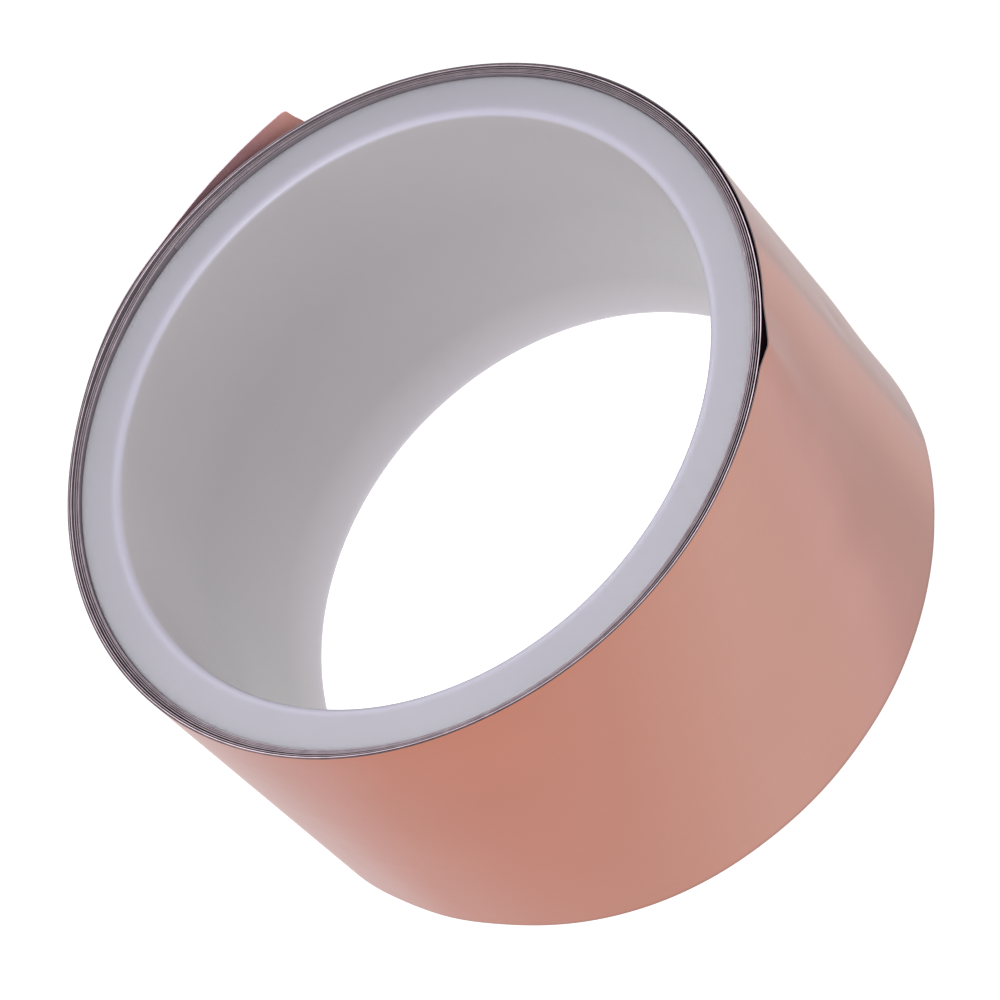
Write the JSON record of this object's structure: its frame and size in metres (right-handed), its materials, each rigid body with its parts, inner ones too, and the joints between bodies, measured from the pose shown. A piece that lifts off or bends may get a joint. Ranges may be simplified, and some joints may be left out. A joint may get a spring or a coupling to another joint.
{
  "type": "copper foil tape roll",
  "caption": "Roll of adhesive copper foil tape wound on a plastic ring core, with the strip's free end lifted off the roll.",
  "frame": {"origin": "centre of the core's bore, halfway along the core", "axes": "+Z along the bore, towards the end where the strip stands past the core; the strip's free end is on the +Y side and points towards +X"},
  "size_m": [0.0898, 0.0911, 0.0504],
  "materials": {
    "core_plastic": "smooth translucent grey",
    "copper": "satin copper foil",
    "adhesive": "thin clear acrylic adhesive, dark at its edge",
    "liner": "clear film, pale at its edge"
  },
  "bodies": {
    "roll": {"core": "core_plastic", "liner_turns": "liner", "adhesive_turns": "adhesive", "foil_turns": "copper"},
    "strip_end": {"liner_free_end": "liner", "adhesive_root": "adhesive", "foil_root": "copper"},
    "foil_end": {"adhesive_free_end": "adhesive", "foil_free_end": "copper"}
  },
  "joints": [
    {"name": "free_end_lift", "type": "hinge", "parent": "roll", "child": "strip_end", "pos_m": [-0.01165, 0.04352, 0], "axis": [0, 0, 1], "range_deg": [0, 60]},
    {"name": "foil_peel", "type": "hinge", "parent": "strip_end", "child": "foil_end", "pos_m": [-0.00383, 0.0452, 0], "axis": [0, 0, 1], "range_deg": [0, 100]}
  ]
}
